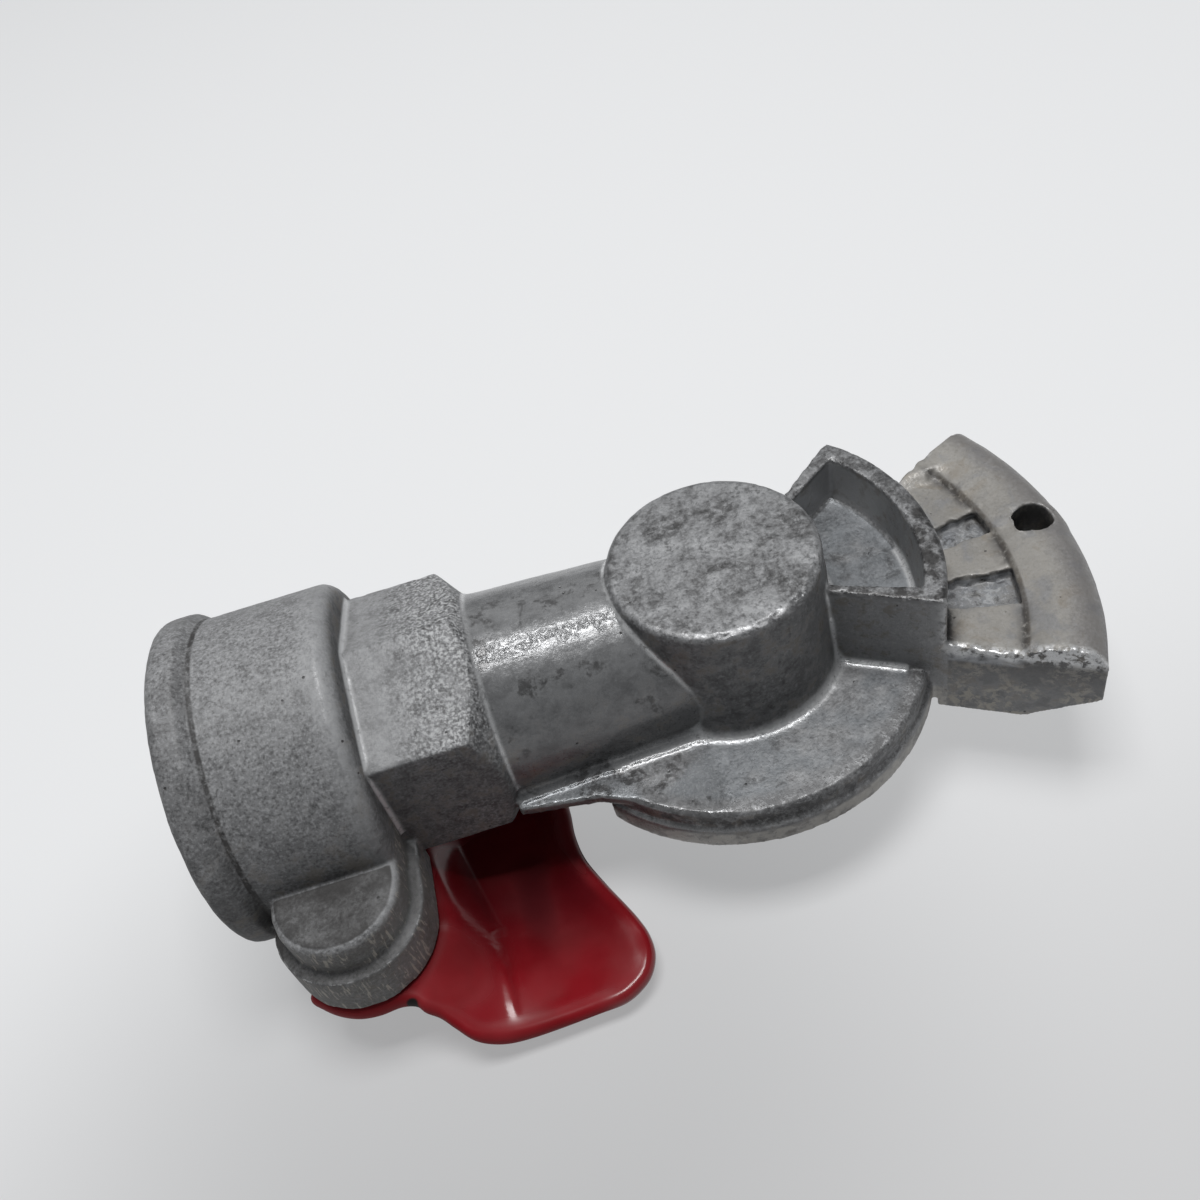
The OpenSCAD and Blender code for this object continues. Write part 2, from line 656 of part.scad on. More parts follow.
// Plan of the lever, from its pivot: eye under the ear, notched shank, lobed paddle with a hollow edge.
module lever_plan() {
    room = ear_y - sqrt(pow(socket_r, 2) - pow(axis_z + ear_drop, 2)) - socket_room;
    difference() {
        union() {
            circle(lever_eye_r);
            hull() {
                translate(shank_at) circle(shank_r, $fn = 32);
                translate(heel_at) circle(heel_r, $fn = 32);
            }
            hull() {
                translate([lever_eye_r / 2, 0]) circle(room, $fn = 32);
                translate(heel_at) circle(heel_r, $fn = 32);
                translate(toe_at) circle(toe_r, $fn = 32);
                translate(tail_at) circle(tail_r, $fn = 32);
                translate(knee_at) circle(tail_r, $fn = 32);
            }
        }
        translate(hollow_at) circle(hollow_r, $fn = 128);
        for (a = [0 : lever_swing / 4 : lever_swing]) rotate(a)
            translate([-ear_x / 2, room]) square([ear_x * 1.5 - socket_start + socket_room, ear_x / 2]);
    }
}

// Points along a bend of the lever, round centre c.
function bend(c, r, from, to) =
    [for (i = [0 : bend_steps]) let (a = from + (to - from) * i / bend_steps) c + r * [cos(a), sin(a)]];

// Side view of the lever along its crank: eye level, bend, slope, bend, paddle level.
module lever_profile() {
    reach = ear_x;
    both = lever_t + bend_r * 2;
    slope = sqrt(pow(crank_run, 2) + pow(both - lever_drop, 2) - pow(both, 2));
    turn = atan2(both, slope) - atan2(both - lever_drop, crank_run);
    upper = [0, lever_low - bend_r];
    lower = [crank_run, lever_top - lever_drop + bend_r];
    polygon(concat([[-reach, lever_low], [-reach, lever_top]],
                   bend(upper, bend_r + lever_t, 90, 90 - turn), bend(lower, bend_r, 270 - turn, 270),
                   [[reach, lever_top - lever_drop], [reach, lever_low - lever_drop]],
                   bend(lower, bend_r + lever_t, 270, 270 - turn), bend(upper, bend_r, 90 - turn, 90)));
}

// Long thumb dish pressed into the paddle: a shallow round trough with round ends.
module dish_cut() {
    bowl_r = (pow(dish_r, 2) + pow(dish, 2)) / (2 * dish);
    translate([dish_at[0], dish_at[1], lever_top - lever_drop]) rotate([0, 0, crank_turn]) intersection() {
        translate([0, 0, bowl_r - dish]) {
            for (end = [-1, 1]) translate([0, end * dish_l / 2, 0]) sphere(r = bowl_r, $fn = 128);
            rotate([90, 0, 0]) cylinder(r = bowl_r, h = dish_l, center = true, $fn = 128);
        }
        union() {
            for (end = [-1, 1]) translate([0, end * dish_l / 2, 0])
                cylinder(r = dish_r + gap, h = dish * 3, center = true);
            cube([(dish_r + gap) * 2, dish_l, dish * 3], center = true);
        }
    }
}

module lock_lever() {
    color(coat_red) at_pivot() difference() {
        intersection() {
            translate([0, 0, lever_low - lever_drop - over])
                linear_extrude(lever_t + lever_drop + over * 2) lever_plan();
            translate([crank_at, 0, 0]) rotate([0, 0, crank_turn]) rotate([90, 0, 0])
                translate([0, 0, -ear_x]) linear_extrude(ear_x * 2) lever_profile();
        }
        translate([0, 0, lever_low - over]) linear_extrude(lever_t + over * 2) tang_section(tang_fit);
        dish_cut();
    }
}

module lever_washer() {
    color(steel_grey) at_pivot() translate([0, 0, lever_low - washer_t]) difference() {
        cylinder(r = washer_r, h = washer_t);
        translate([0, 0, -over]) cylinder(r = screw_r + screw_fit, h = washer_t + over * 2, $fn = 32);
    }
}

// Hexagon screw from below, through the washer into the pin's tang.
module lever_screw() {
    head_low = lever_low - washer_t - screw_head_h;
    color(steel_grey) at_pivot() translate([0, 0, head_low]) {
        cylinder(r = screw_head_r, h = screw_head_h, $fn = 6);
        cylinder(r = screw_r - thread_fit, h = screw_head_h + washer_t + lever_t + ear_drop, $fn = 32);
    }
}

body();
face_seal();
detent_plate();
detent_rivets();
socket_ring();
lock_pin();
pin_clip();
lever_spring();
lock_lever();
lever_washer();
lever_screw();
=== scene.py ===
from math import pi, radians

import bpy
import numpy as np
from mathutils import Matrix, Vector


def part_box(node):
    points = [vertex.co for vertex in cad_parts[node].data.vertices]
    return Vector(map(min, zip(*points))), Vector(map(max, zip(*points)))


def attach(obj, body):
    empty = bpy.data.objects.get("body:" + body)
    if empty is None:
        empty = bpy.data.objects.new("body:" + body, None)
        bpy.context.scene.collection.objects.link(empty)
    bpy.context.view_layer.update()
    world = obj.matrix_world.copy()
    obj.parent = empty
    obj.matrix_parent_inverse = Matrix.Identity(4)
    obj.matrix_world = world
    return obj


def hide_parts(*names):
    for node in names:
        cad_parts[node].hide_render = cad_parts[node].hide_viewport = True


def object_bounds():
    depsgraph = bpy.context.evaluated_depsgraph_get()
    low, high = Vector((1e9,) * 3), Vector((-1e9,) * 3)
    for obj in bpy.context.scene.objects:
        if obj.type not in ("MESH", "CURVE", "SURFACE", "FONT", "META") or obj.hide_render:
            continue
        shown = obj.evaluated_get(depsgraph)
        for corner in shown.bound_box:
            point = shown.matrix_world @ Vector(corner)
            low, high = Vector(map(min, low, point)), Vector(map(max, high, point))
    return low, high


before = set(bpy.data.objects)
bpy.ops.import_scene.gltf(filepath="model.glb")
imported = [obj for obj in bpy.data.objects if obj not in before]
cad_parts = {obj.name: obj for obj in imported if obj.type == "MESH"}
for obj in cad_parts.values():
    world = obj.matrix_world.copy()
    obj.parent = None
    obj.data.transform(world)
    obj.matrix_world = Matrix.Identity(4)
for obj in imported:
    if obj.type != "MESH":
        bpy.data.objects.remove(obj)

cad_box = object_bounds()
scene = bpy.context.scene
scene.view_settings.view_transform = "Standard"

# The viewpoint: a camera held above the near side of the coupler and turned about its own line of sight.
# Its place, turns and lens were solved from the outlines of the casting.
eye_place = (-0.023048, -0.150255, 0.197365)
eye_azimuth, eye_elevation, eye_roll = radians(-0.510), radians(47.547), radians(-16.723)
lens_data = bpy.data.cameras.new("viewpoint")
lens_data.sensor_width, lens_data.lens = 36.0, 36.383
lens_data.clip_start = 0.01
viewpoint = bpy.data.objects.new("viewpoint", lens_data)
viewpoint.matrix_world = (Matrix.Translation(eye_place) @ Matrix.Rotation(eye_azimuth, 4, "Z")
                          @ Matrix.Rotation(pi / 2 - eye_elevation, 4, "X") @ Matrix.Rotation(eye_roll, 4, "Z"))
scene.collection.objects.link(viewpoint)
scene.camera = viewpoint

# The table: a plain pale sheet under the lowest point of the hook's lip, with painted shade on its near side.
# A painted shadow dims it softly round the part. Camera and mirror rays see a share of its own colour as glow,
# which lifts the part's shadow to a pale grey.
table_reach, table_z = 3.0, cad_box[0][2]
table_near, table_far = (0.60, 0.60, 0.605), (0.83, 0.837, 0.847)
table_near_y, table_far_y = -0.15, 0.04
dim_middle, dim_from, dim_to, dim_least = (-0.065, -0.055), 0.03, 0.12, 0.80
glow_share = 0.6


def new_finish(name):
    """A material with an empty Principled shader: its node tree and that shader."""
    finish = bpy.data.materials.new(name)
    finish.use_nodes = True
    return finish, finish.node_tree, finish.node_tree.nodes["Principled BSDF"]


def add(tree, kind, **settings):
    """One shader node. Small names set its properties, capital names fill or link its sockets."""
    node = tree.nodes.new("ShaderNode" + kind)
    for name, value in settings.items():
        if name[0].islower():
            setattr(node, name, value)
        elif isinstance(value, bpy.types.NodeSocket):
            tree.links.new(value, node.inputs[name.replace("_", " ")])
        else:
            node.inputs[name.replace("_", " ")].default_value = value
    return node


def calc(tree, operation, *values, clamp=False):
    """One step of arithmetic on values or sockets."""
    node = tree.nodes.new("ShaderNodeMath")
    node.operation, node.use_clamp = operation, clamp
    for socket, value in zip(node.inputs, values):
        if isinstance(value, bpy.types.NodeSocket):
            tree.links.new(value, socket)
        else:
            socket.default_value = value
    return node.outputs[0]


def fade(tree, value, low, high, start=0.0, end=1.0):
    """A smooth step of a value from low to high, turned into start to end."""
    node = add(tree, "MapRange", interpolation_type="SMOOTHSTEP", Value=value, From_Min=low, From_Max=high,
               To_Min=start, To_Max=end)
    return node.outputs["Result"]


def tint(tree, share, first, second):
    """The first colour with a share of the second laid over it."""
    node = tree.nodes.new("ShaderNodeMix")
    node.data_type = "RGBA"
    for index, value in ((0, share), (6, first), (7, second)):
        if isinstance(value, bpy.types.NodeSocket):
            tree.links.new(value, node.inputs[index])
        else:
            node.inputs[index].default_value = value if index == 0 else (*value, 1)
    return node.outputs[2]


def from_axis(tree, x, y, at):
    """Distance in plan from an upright axis."""
    dx, dy = calc(tree, "SUBTRACT", x, at[0]), calc(tree, "SUBTRACT", y, at[1])
    return calc(tree, "SQRT", calc(tree, "ADD", calc(tree, "MULTIPLY", dx, dx), calc(tree, "MULTIPLY", dy, dy)))


table_mesh = bpy.data.meshes.new("table")
table_mesh.from_pydata([(x * table_reach, y * table_reach, table_z) for x, y in ((-1, -1), (1, -1), (1, 1), (-1, 1))],
                       [], [(0, 1, 2, 3)])
table = bpy.data.objects.new("table", table_mesh)
scene.collection.objects.link(table)
table_paint, tree, skin = new_finish("pale_table")
x, y, _ = add(tree, "SeparateXYZ", Vector=add(tree, "TexCoord").outputs["Object"]).outputs
# Painted shade on the near side, and a painted shadow round the part.
table_tone = tint(tree, fade(tree, y, table_near_y, table_far_y), table_near, table_far)
painted_table_shadow = fade(tree, from_axis(tree, x, y, dim_middle), dim_from, dim_to, dim_least, 1.0)
table_tone = add(tree, "VectorMath", operation="SCALE", Vector=table_tone, Scale=painted_table_shadow).outputs[0]
tree.links.new(table_tone, skin.inputs["Base Color"])
skin.inputs["Roughness"].default_value = 0.6
table_glow = add(tree, "Emission", Color=table_tone, Strength=1.0)
rays = add(tree, "LightPath").outputs
table_seen = calc(tree, "MAXIMUM", rays["Is Camera Ray"], rays["Is Glossy Ray"])
table_mix = tree.nodes.new("ShaderNodeMixShader")
for socket, part in zip(table_mix.inputs,
                        (calc(tree, "MULTIPLY", table_seen, glow_share), skin.outputs[0], table_glow.outputs[0])):
    tree.links.new(part, socket)
tree.links.new(table_mix.outputs[0], tree.nodes["Material Output"].inputs["Surface"])
table_mesh.materials.append(table_paint)

# The light: a ceiling lamp just behind the part and a pale wall far behind it, in a dim, slightly blue room.
# So the sides that face the viewer stay in shade.
for name, spot, tilt, breadth, depth, power in (("ceiling_lamp", (0.0, 0.07, 1.0), 0, 0.55, 0.3, 8.6),
                                                 ("far_wall", (-0.15, 1.1, 0.8), -54, 1.3, 0.8, 1.4)):
    lamp_data = bpy.data.lights.new(name, "AREA")
    lamp_data.shape, lamp_data.size, lamp_data.size_y, lamp_data.energy = "RECTANGLE", breadth, depth, power
    lamp = bpy.data.objects.new(name, lamp_data)
    lamp.location, lamp.rotation_euler = spot, (radians(tilt), 0, 0)
    scene.collection.objects.link(lamp)
room = bpy.data.worlds.new("room")
room.use_nodes = True
room.node_tree.nodes["Background"].inputs["Color"].default_value = (0.92, 0.96, 1.0, 1)
room.node_tree.nodes["Background"].inputs["Strength"].default_value = 0.14
scene.world = room

# The head: one grey die casting with socket, wrench flats, tube, boss, flange, ear and hook.
# The skin is dull and mottled; die edges are rounded and worn bright; corners and sides hold grime and painted shade.
lattice = 0.00036
ease_steps, broad_steps = ((6, 80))
triangle_limit = 180000
worn_depth, fillet_depth, crevice_depth = 0.00012, 0.0006, 0.00025
fillet_growth, chip_depth, torn_height = 0.9, 0.00035, 0.0004
ear_axis = np.array([-0.0817, -0.0320])
fan_hole, fan_hole_r = np.array([0.0627, 0.0]), 0.0037
hole_middle = np.array([0.0623, 0.0008])
hole_turns = np.radians([-180, -152, -105, -64, -28, 34, 67, 111, 147, 173, 180])
hole_radii = 0.001 * np.array([3.0, 3.7, 3.2, 4.0, 4.5, 4.3, 3.7, 3.1, 3.4, 2.9, 3.0])
border_reach, border_turn = (0.042, 0.0476, 0.0565, 0.06), (25.2, 23.7, 20.3, 19.0)


def merged_copy(node):
    """Points and triangles of a CAD node, with the corners that its faces share made into one point each."""
    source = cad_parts[node].data
    points = np.empty(len(source.vertices) * 3, np.float32)
    source.vertices.foreach_get("co", points)
    corners = np.empty(len(source.loops), np.int32)
    source.loops.foreach_get("vertex_index", corners)
    points = points.reshape(-1, 3)
    _, first, same = np.unique(np.round(points * 1e6).astype(np.int64), axis=0,
                               return_index=True, return_inverse=True)
    triangles = same.ravel()[corners].reshape(-1, 3)
    whole = (triangles != np.roll(triangles, 1, axis=1)).all(axis=1)
    return points[first], triangles[whole]


def skin_now(piece):
    """The piece's mesh with its modifiers as they stand: points, outward directions and the mesh itself."""
    skin = bpy.data.meshes.new_from_object(piece.evaluated_get(bpy.context.evaluated_depsgraph_get()))
    points, out = (np.empty(len(skin.vertices) * 3, np.float32) for _ in range(2))
    skin.vertices.foreach_get("co", points)
    skin.vertex_normals.foreach_get("vector", out)
    return points.reshape(-1, 3).astype(float), out.reshape(-1, 3).astype(float), skin


def cast_noise(points, size, seed):
    """Soft random height from -1 to 1: hashed values on a lattice of that size, eased between its corners."""
    cell, part = np.divmod(points / size, 1)
    cell, part = cell.astype(np.int64), part * part * (3 - 2 * part)
    total = np.zeros(len(points))
    for corner in np.ndindex(2, 2, 2):
        key = (cell + corner) * (73856093, 19349663, 83492791)
        mixed = ((key[:, 0] ^ key[:, 1] ^ key[:, 2]) + seed * 40503) * 2654435761
        value = ((mixed >> 13) & 0xFFFF) / 32767.5 - 1
        total += np.prod(np.where(corner, part, 1 - part), axis=1) * value
    return total


def step(value, low, high):
    """A smooth step from 0 at low to 1 at high."""
    t = np.clip((value - low) / (high - low), 0, 1)
    return t * t * (3 - 2 * t)


# A fine lattice is laid over the die's form and eased. What easing takes off is an edge, and what a broad easing
# would fill is a corner, where the fillet grows.
form_points, form_triangles = merged_copy("body")
form_mesh = bpy.data.meshes.new("die_form")
form_mesh.from_pydata(form_points, [], form_triangles)
die_form = bpy.data.objects.new("die_form", form_mesh)
scene.collection.objects.link(die_form)
laid = die_form.modifiers.new("fine lattice", "REMESH")
laid.mode, laid.voxel_size = "VOXEL", lattice
sharp_points, _, spare = skin_now(die_form)
bpy.data.meshes.remove(spare)
eased = die_form.modifiers.new("eased edges", "SMOOTH")
eased.factor, eased.iterations = 0.5, ease_steps
points, out, head_mesh = skin_now(die_form)
broad = die_form.modifiers.new("broad form", "SMOOTH")
broad.factor, broad.iterations = 0.5, broad_steps
broad_points, _, spare = skin_now(die_form)
bpy.data.meshes.remove(spare)
bpy.data.objects.remove(die_form)
px, py, pz = points.T
edge_turn = ((sharp_points - points) * out).sum(axis=1) / worn_depth
filled = np.maximum(((broad_points - points) * out).sum(axis=1), 0)
plan_reach = np.linalg.norm(points[:, :2], axis=1)
plan_ear = np.linalg.norm(points[:, :2] - ear_axis, axis=1)
off_fan = 1 - step(plan_reach, 0.0405, 0.0415) * (px > 0.02)
off_rims = step(px, -0.080, -0.076) * (1 - step(plan_reach, 0.0345, 0.0355) * (pz < 0.012))
fillet = filled * off_fan * off_rims * step(plan_ear, 0.0150, 0.0165)
points += out * fillet_growth * fillet[:, None]

# The fan's hole is drawn out to a rough outline, its far border rises into the bead, and its pads' edges waver.
around_hole = points[:, :2] - fan_hole
hole_reach = np.linalg.norm(around_hole, axis=1)
hole_turn = np.arctan2(around_hole[:, 1], around_hole[:, 0])
ragged = np.interp(hole_turn, hole_turns, hole_radii) / fan_hole_r
near_hole = 1 - step(hole_reach, 0.0042, 0.0075)
moved = (around_hole * ragged[:, None] + hole_middle - fan_hole - around_hole) * near_hole[:, None]
points[:, :2] += moved * (points[:, 2:] > 0.002)
past_border = np.degrees(np.arctan2(py, px)) - np.interp(plan_reach, border_reach, border_turn)
far_border = (plan_reach > 0.0417) * step(past_border, -0.5, 3.5)
far_border *= ((pz > 0.0155) & (px > 0.03)) * (1 - step(plan_reach, 0.0575, 0.0615))
crest = step(pz, 0.0158, 0.0161) * (out[:, 2] > 0.3) * (plan_reach > 0.0551) * (px > 0.03)
crest *= 1 - step(plan_reach, 0.0632, 0.0640)
gentle = 0.0168 + 0.0021 * np.sin(np.clip((plan_reach - 0.0552) / 0.0085, 0, 1) * pi / 2)
points[:, 2] += crest * np.minimum(gentle - pz, 0)
border_top = 0.0162 + 0.0027 * np.clip((plan_reach - 0.0425) / 0.021, 0, 1)
points[:, 2] += far_border * np.maximum(border_top - pz, 0)
on_pads = step(pz, 0.0125, 0.0135) * step(plan_reach, 0.0425, 0.0435) * (1 - step(plan_reach, 0.0565, 0.058))
on_pads *= px > 0.03
points[:, 0] += 0.00034 * on_pads * cast_noise(points, 0.0019, 5)
points[:, 1] += 0.00042 * on_pads * cast_noise(points, 0.0016, 6)

# The skin waves a little, the fan's near edge is torn, and edges are chipped, most on the boss and the arm.
wavy = 0.00006 * cast_noise(points, 0.0045, 1) + 0.00004 * cast_noise(points, 0.0016, 2)
end_side = np.abs(px * np.sin(radians(30)) + py * np.cos(radians(30)))
torn = (1 - step(end_side, 0.0005, 0.0018)) * step(pz, 0.0135, 0.0155) * step(px, 0.034, 0.038)
knocks = cast_noise(points, 0.0017, 7) + 0.6 * cast_noise(points, 0.0008, 8) - 0.1
chips = np.clip(edge_turn, 0, 1) * np.clip(knocks, 0, 1)
chips *= (1 - step(plan_reach, 0.044, 0.046) * (px > 0)) * (1 + 0.8 * (pz > 0.027) * (px > 0.012))
chips *= 1 + 3.0 * (pz > 0.033) * (plan_reach < 0.0215) * step(-py, 0.002, 0.012)
points += out * (wavy + torn_height * torn * cast_noise(points, 0.0012, 3) - chip_depth * chips)[:, None]
head_mesh.vertices.foreach_set("co", points.astype(np.float32).ravel())
for name, value in (("worn_edge", np.clip(edge_turn, 0, 1)), ("fillet", np.clip(fillet / fillet_depth, 0, 1)),
                    ("torn", torn), ("crevice", np.clip(filled / crevice_depth, 0, 1) * (1 - off_fan))):
    head_mesh.attributes.new(name, "FLOAT", "POINT").data.foreach_set("value", value.astype(np.float32))
head_mesh.name = "head_casting"
head_mesh.shade_smooth()
head = bpy.data.objects.new("head_casting", head_mesh)
scene.collection.objects.link(head)
thinned = head.modifiers.new("thinned flats", "DECIMATE")
thinned.ratio = min(1.0, triangle_limit / (2 * len(head_mesh.polygons)))


def millimetres(tree):
    """The piece's own coordinates in millimetres."""
    place = add(tree, "TexCoord")
    return add(tree, "Mapping", Vector=place.outputs["Object"], Scale=(1000, 1000, 1000)).outputs[0]


def cloud(tree, place, size, detail=3.0, rough=0.5, stretch=0.0):
    """Soft noise with blotches of about that size in millimetres."""
    return add(tree, "TexNoise", Vector=place, Scale=1 / size, Detail=detail, Roughness=rough,
               Distortion=stretch).outputs["Fac"]


def product(tree, *values):
    """Shares multiplied together."""
    total = values[0]
    for value in values[1:]:
        total = calc(tree, "MULTIPLY", total, value)
    return total


def without(tree, value):
    """What is left of one when a share is taken away."""
    return calc(tree, "SUBTRACT", 1.0, value)


def most(tree, *values):
    """The largest of several shares."""
    top = values[0]
    for value in values[1:]:
        top = calc(tree, "MAXIMUM", top, value)
    return top


def beside(tree, value, middle):
    """Distance of a value from a middle, to either side."""
    return calc(tree, "ABSOLUTE", calc(tree, "SUBTRACT", value, middle))


def times(share, colour):
    """A colour made darker or lighter."""
    return tuple(share * part for part in colour)


cast_grey, cast_dark, cast_bright = (0.215, 0.217, 0.221), (0.024, 0.022, 0.021), (0.60, 0.605, 0.61)
cast_warm, cast_tan, cast_blue = (0.300, 0.287, 0.265), (0.19, 0.165, 0.135), (0.175, 0.186, 0.197)
fan_cool, fan_brown, bead_dull = (0.215, 0.216, 0.222), (0.235, 0.205, 0.165), (0.165, 0.158, 0.160)
slot_floor, slot_bright, slot_wall_light = (0.21, 0.22, 0.235), (0.40, 0.41, 0.42), (0.40, 0.41, 0.43)
fold_shade, crevice_shade, pocket_pale = (0.075, 0.06, 0.045), (0.018, 0.016, 0.016), (0.27, 0.285, 0.30)
wall_dusty, fan_wall_dark, fan_scuff = (0.37, 0.353, 0.325), (0.040, 0.037, 0.036), (0.36, 0.335, 0.29)
ear_drab, ear_scrape = (0.20, 0.188, 0.165), (0.44, 0.41, 0.355)
cast, tree, skin = new_finish("cast_skin")
place = millimetres(tree)
x, y, z = add(tree, "SeparateXYZ", Vector=place).outputs
slant, leaning, facing = add(tree, "SeparateXYZ", Vector=add(tree, "TexCoord").outputs["Normal"]).outputs
blotch = cloud(tree, place, 14, 5, 0.6)
stain = cloud(tree, place, 7, 5, 0.62, 0.6)
mottle = cloud(tree, place, 3.6, 6, 0.66, 0.25)
fleck = cloud(tree, place, 1.5, 5, 0.7, 0.35)
speck = cloud(tree, place, 0.6, 3, 0.6)
hollow = add(tree, "AmbientOcclusion", samples=6, only_local=True, Distance=0.006).outputs["AO"]
edge = fade(tree, add(tree, "Attribute", attribute_name="worn_edge").outputs["Fac"], 0.35, 1.0)
fillet_line = add(tree, "Attribute", attribute_name="fillet").outputs["Fac"]
rag = add(tree, "Attribute", attribute_name="torn").outputs["Fac"]
crevice = add(tree, "Attribute", attribute_name="crevice").outputs["Fac"]

# Where the casting's own places are, in millimetres along its axes and round the seal's and the ear's axes.
reach = from_axis(tree, x, y, (0, 0))
ear_reach = from_axis(tree, x, y, (-81.7, -32.0))
upward = fade(tree, facing, -0.1, 0.75)
sideways = without(tree, upward)
on_fan = product(tree, fade(tree, reach, 41.8, 42.4), fade(tree, x, 20, 30))
off_the_fan = without(tree, on_fan)
in_slot = product(tree, on_fan, fade(tree, z, 15.6, 15.0), fade(tree, reach, 55.6, 55.2), fade(tree, z, 12, 13))
fan_wall = product(tree, on_fan, sideways, without(tree, in_slot))
fold = product(tree, on_fan, upward, fade(tree, beside(tree, reach, 55.6), 0.75, 0.3),
               fade(tree, calc(tree, "ARCTAN2", y, x), 0.41, 0.36))
from_ear = calc(tree, "ADD", calc(tree, "MULTIPLY", calc(tree, "ADD", x, 81.7), slant),
                calc(tree, "MULTIPLY", calc(tree, "ADD", y, 32.0), leaning))
on_ear = product(tree, fade(tree, calc(tree, "DIVIDE", from_ear, ear_reach), 0.6, 0.85),
                 fade(tree, ear_reach, 16.0, 15.2), fade(tree, z, 16.8, 16.2), sideways)
ear_front = product(tree, edge, fade(tree, ear_reach, 10.0, 10.8), fade(tree, ear_reach, 12.8, 12.2),
                    fade(tree, z, 14.6, 15.4), fade(tree, y, -33, -36))
on_ear_top = product(tree, fade(tree, ear_reach, 11.8, 11.2), fade(tree, z, 15.0, 15.8),
                     fade(tree, facing, 0.8, 0.95))
ear_ledge = product(tree, fade(tree, ear_reach, 16.5, 15.8), fade(tree, z, 14.5, 13.5), fade(tree, z, 2, 4), upward)
on_tube = product(tree, fade(tree, x, -47.2, -46.0), fade(tree, reach, 20.0, 21.0), fade(tree, x, -8, -12))
scraped = product(tree, on_tube, fade(tree, beside(tree, leaning, -0.31), 0.15, 0.0), fade(tree, fleck, 0.36, 0.62))
smudge = product(tree, on_tube, fade(tree, stain, 0.52, 0.62), fade(tree, fleck, 0.58, 0.46))
on_socket = fade(tree, x, -71.5, -73)
shoulder = product(tree, fade(tree, x, -78, -75), fade(tree, x, -69, -71))
rim_line = fade(tree, beside(tree, x, -94.7), 0.7, 0.25)
on_flats = product(tree, fade(tree, x, -72.5, -71.5), fade(tree, x, -46.5, -47.2))
etched = product(tree, fade(tree, x, -65, -52), fade(tree, x, -46.6, -47.2), fade(tree, blotch, 0.35, 0.6, 0.3, 1.0),
                 fade(tree, facing, 0.0, 0.5, 0.35, 1.0))
boss_top = product(tree, fade(tree, z, 34.6, 35.3), fade(tree, reach, 21.0, 20.4), fade(tree, facing, 0.8, 0.95))
on_hook = fade(tree, x, 8, 26)
arm_rim = product(tree, fade(tree, z, 27.4, 28.2), fade(tree, x, 13, 17), fade(tree, reach, 20.5, 21.5),
                  fade(tree, mottle, 0.6, 0.42))
in_pocket = product(tree, fade(tree, reach, 20.6, 21.2), fade(tree, reach, 37.2, 36.6), fade(tree, z, 20.0, 19.2),
                    fade(tree, z, 15, 16), fade(tree, x, 12, 15), fade(tree, facing, 0.8, 0.95))
far_outside = calc(tree, "SUBTRACT", calc(tree, "MULTIPLY", leaning, 0.755), calc(tree, "MULTIPLY", slant, 0.656))
in_well = product(tree, fade(tree, far_outside, 0.6, 0.3), fade(tree, reach, 20.2, 20.8),
                  fade(tree, reach, 38.4, 37.6), fade(tree, z, 28.4, 27.4), fade(tree, z, 15, 16),
                  fade(tree, x, 11, 13), fade(tree, y, 2.5, 4.0))
flange_band = product(tree, fade(tree, reach, 34, 36.5), fade(tree, reach, 39.2, 38.8), fade(tree, z, 12, 10.5),
                      off_the_fan, fade(tree, x, -27, -21))
on_flange = product(tree, fade(tree, reach, 21, 22), without(tree, flange_band), fade(tree, z, 12, 10.5),
                    off_the_fan, fade(tree, facing, 0.85, 0.95), fade(tree, x, -48, -47))
low_wall = product(tree, fade(tree, reach, 38.4, 38.9), fade(tree, z, 4.5, 3.5), sideways, off_the_fan,
                   fade(tree, y, -5, -12), fade(tree, x, -45, -41))
smooth_skin = calc(tree, "MAXIMUM", in_pocket, on_flange)
rough_skin = without(tree, most(tree, product(tree, most(tree, on_tube, on_fan, smooth_skin), 0.75),
                                product(tree, on_socket, 0.4), product(tree, boss_top, 0.4)))
lit_tops = product(tree, fade(tree, facing, 0.9, 0.99), rough_skin, fade(tree, fleck, 0.4, 0.55),
                without(tree, on_ear_top), fade(tree, on_hook, 0, 1, 1.0, 0.1))

# Painted shade in corners and the rim's step, grime and shade on the sides, grime on the ear and round the flange.
corners = product(tree, fade(tree, hollow, 0.95, 0.4), fade(tree, most(tree, on_tube, shoulder), 0, 1, 1.0, 0.45))
grime_and_shade = product(tree, corners, fade(tree, on_hook, 0, 1, 0.42, 0.12))
for dirt in (product(tree, sideways, fade(tree, on_hook, 0, 1, 0.4, 0.16)),
             most(tree, product(tree, on_ear_top, fade(tree, mottle, 0.35, 0.65, 0.95, 0.72)),
                  product(tree, ear_ledge, 0.6)),
             product(tree, rim_line, fade(tree, fleck, 0.3, 0.55), 0.9),
             product(tree, flange_band, fade(tree, fleck, 0.42, 0.56), 0.55)):
    grime_and_shade = calc(tree, "ADD", grime_and_shade, dirt, clamp=True)
grime_and_shade = product(tree, grime_and_shade, fade(tree, blotch, 0.25, 0.75, 1.15, 0.7), fade(tree, fillet_line, 0.1, 0.45, 1.0, 0.1))
